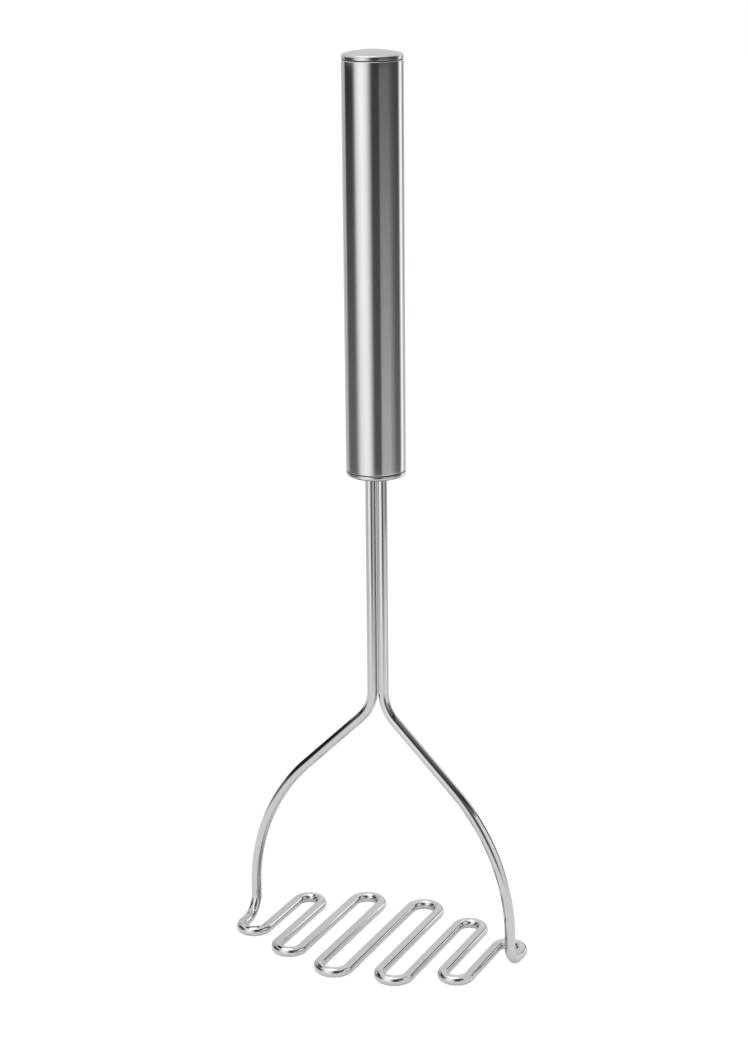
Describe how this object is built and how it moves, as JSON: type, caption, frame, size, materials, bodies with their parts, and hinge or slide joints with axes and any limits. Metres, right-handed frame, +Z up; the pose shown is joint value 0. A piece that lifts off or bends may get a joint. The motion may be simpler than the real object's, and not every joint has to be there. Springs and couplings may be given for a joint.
{
  "type": "potato masher",
  "caption": "Potato masher with a flattened serpentine wire head, a forked twin-wire stem and a straight tubular steel handle.",
  "frame": {"origin": "on the handle's axis, in the plane of the head's flat underside, so the masher stands on z = 0", "axes": "+Z up along the handle; the fork's two legs lie in the XZ plane; the head's straight passes run along Y"},
  "size_m": [0.098, 0.062, 0.2959],
  "materials": {
    "handle_steel": "satin",
    "cap_steel": "satin",
    "wire_steel": "polished",
    "weld": "as welded",
    "seal": "matt black sealant"
  },
  "bodies": {
    "root": {"handle_tube": "handle_steel", "top_cap": "cap_steel", "top_seal": "seal", "bottom_cap": "cap_steel", "bottom_seal": "seal", "stem_weld": "weld", "masher_wire": "wire_steel"}
  },
  "joints": []
}
